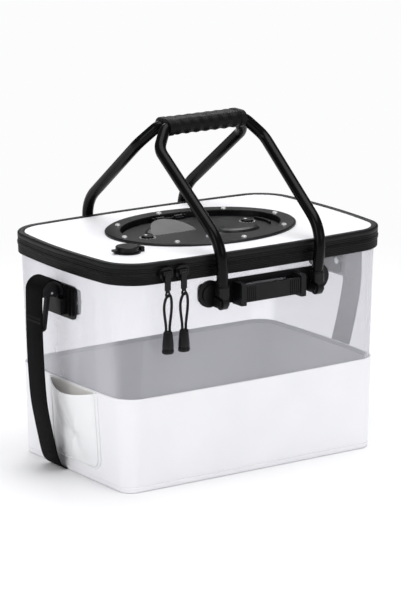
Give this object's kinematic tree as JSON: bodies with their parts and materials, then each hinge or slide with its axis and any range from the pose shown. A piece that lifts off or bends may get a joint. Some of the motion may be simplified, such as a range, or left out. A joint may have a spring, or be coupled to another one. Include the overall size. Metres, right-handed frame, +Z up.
{
  "type": "collapsible live bait bucket",
  "caption": "Collapsible rectangular bait bucket with a white base, clear upper wall, zipped lid with a hatch and hose port, folding tube bails, lift bars and a shoulder strap.",
  "frame": {"origin": "middle of the foot, on the floor", "axes": "+X along the long front, +Y to the back, +Z up"},
  "size_m": [0.4936, 0.3196, 0.4391],
  "materials": {
    "white_vinyl": "welded glossy white EVA sheet",
    "clear_vinyl": "clear glossy PVC sheet",
    "black_moulding": "satin moulded polypropylene",
    "black_tube": "satin powder-coated tube",
    "grip_rubber": "matte soft-touch grip",
    "zip_tape": "ribbed black edge tape",
    "webbing": "woven black polypropylene webbing",
    "steel": "bright stainless steel",
    "grey_rubber": "light grey moulded rubber",
    "gasket_rubber": "black sponge rubber",
    "cord": "braided black cord with a moulded end"
  },
  "bodies": {
    "tub": {"lower_tub": "white_vinyl", "clear_wall": "clear_vinyl", "rim_hoop": "black_moulding", "lower_zip_band": "zip_tape", "lower_zip_teeth": "black_moulding", "lower_hinge_tape": "zip_tape", "pump_pocket": "white_vinyl", "pocket_border": "white_vinyl", "front_bracket": "black_moulding", "rear_bracket": "black_moulding", "front_backing_plate": "black_moulding", "rear_backing_plate": "black_moulding", "front_lift_bar": "black_moulding", "rear_lift_bar": "black_moulding", "bail_pivot_pins": "black_moulding", "wall_screws": "steel", "left_clip_plate": "black_moulding", "right_clip_plate": "black_moulding", "left_clip_backing": "black_moulding", "right_clip_backing": "black_moulding", "left_strap_hook": "black_moulding", "right_strap_hook": "black_moulding", "lever_pins": "steel", "left_strap": "webbing", "right_strap": "webbing", "base_strap": "webbing"},
    "lid": {"lid_panel": "white_vinyl", "lid_piping": "zip_tape", "upper_zip_band": "zip_tape", "upper_zip_teeth": "black_moulding", "upper_hinge_tape": "zip_tape", "hatch_ring": "black_moulding", "hatch_clamp_ring": "black_moulding", "hatch_gasket": "gasket_rubber", "hatch_screws": "steel", "port_base": "black_moulding", "port_nut": "black_moulding", "hatch_hinge_pin": "steel"},
    "hatch": {"hatch_door": "black_moulding", "vent_plug": "grey_rubber"},
    "latch_left": {"left_latch": "black_moulding"},
    "latch_right": {"right_latch": "black_moulding"},
    "cap": {"port_cap": "black_moulding"},
    "front_bail": {"front_bail_tube": "black_tube", "front_left_knuckle": "black_moulding", "front_right_knuckle": "black_moulding", "front_grip_half": "grip_rubber"},
    "rear_bail": {"rear_bail_tube": "black_tube", "rear_left_knuckle": "black_moulding", "rear_right_knuckle": "black_moulding", "rear_grip_half": "grip_rubber"},
    "slider_left": {"left_slider": "black_moulding"},
    "slider_right": {"right_slider": "black_moulding"},
    "pull_left": {"left_pull_tab": "black_moulding", "left_pull_cord": "cord"},
    "pull_right": {"right_pull_tab": "black_moulding", "right_pull_cord": "cord"},
    "lever_left": {"left_release_lever": "black_moulding"},
    "lever_right": {"right_release_lever": "black_moulding"}
  },
  "joints": [
    {"name": "lid_open", "type": "hinge", "parent": "tub", "child": "lid", "pos_m": [0, 0.14223, 0.279], "axis": [-1, 0, 0], "range_deg": [0, 68]},
    {"name": "front_bail_fold", "type": "hinge", "parent": "tub", "child": "front_bail", "pos_m": [0.0045, -0.15088, 0.2335], "axis": [1, 0, 0], "range_deg": [0, 178]},
    {"name": "rear_bail_fold", "type": "hinge", "parent": "tub", "child": "rear_bail", "pos_m": [0.0045, 0.15088, 0.2335], "axis": [-1, 0, 0], "range_deg": [0, 178]},
    {"name": "hatch_open", "type": "hinge", "parent": "lid", "child": "hatch", "pos_m": [0.003, 0.0723, 0.2902], "axis": [-1, 0, 0], "range_deg": [0, 50]},
    {"name": "latch_left_turn", "type": "hinge", "parent": "hatch", "child": "latch_left", "pos_m": [-0.077, 0.001, 0.285], "axis": [0, 0, 1], "range_deg": [0, 90]},
    {"name": "latch_right_turn", "type": "hinge", "parent": "hatch", "child": "latch_right", "pos_m": [0.082, 0.009, 0.285], "axis": [0, 0, 1], "range_deg": [0, 90]},
    {"name": "cap_flip", "type": "hinge", "parent": "lid", "child": "cap", "pos_m": [-0.1335, -0.067, 0.2967], "axis": [0, 1, 0], "range_deg": [0, 110]},
    {"name": "slider_left_run", "type": "slide", "parent": "tub", "child": "slider_left", "axis": [-0.9984, 0.0558, 0], "range_m": [0, 0.012]},
    {"name": "slider_right_run", "type": "slide", "parent": "tub", "child": "slider_right", "axis": [0.9991, -0.0421, 0], "range_m": [0, 0.016]},
    {"name": "pull_left_swing", "type": "hinge", "parent": "slider_left", "child": "pull_left", "pos_m": [-0.144, -0.14466, 0.28], "axis": [-1, 0, 0], "range_deg": [0, 80]},
    {"name": "pull_right_swing", "type": "hinge", "parent": "slider_right", "child": "pull_right", "pos_m": [-0.121, -0.14571, 0.28], "axis": [-1, 0, 0], "range_deg": [0, 80]},
    {"name": "lever_left_press", "type": "hinge", "parent": "tub", "child": "lever_left", "pos_m": [-0.2271, -0.002, 0.2395], "axis": [0, -1, 0], "range_deg": [0, 12], "stiffness_Nm_per_rad": 0.05},
    {"name": "lever_right_press", "type": "hinge", "parent": "tub", "child": "lever_right", "pos_m": [0.2271, -0.002, 0.2395], "axis": [0, 1, 0], "range_deg": [0, 12], "stiffness_Nm_per_rad": 0.05}
  ],
  "couplings": [
    {"joint": "front_bail_fold", "follows": "lid_open", "ratio": 2.6},
    {"joint": "rear_bail_fold", "follows": "lid_open", "ratio": 2.6}
  ]
}
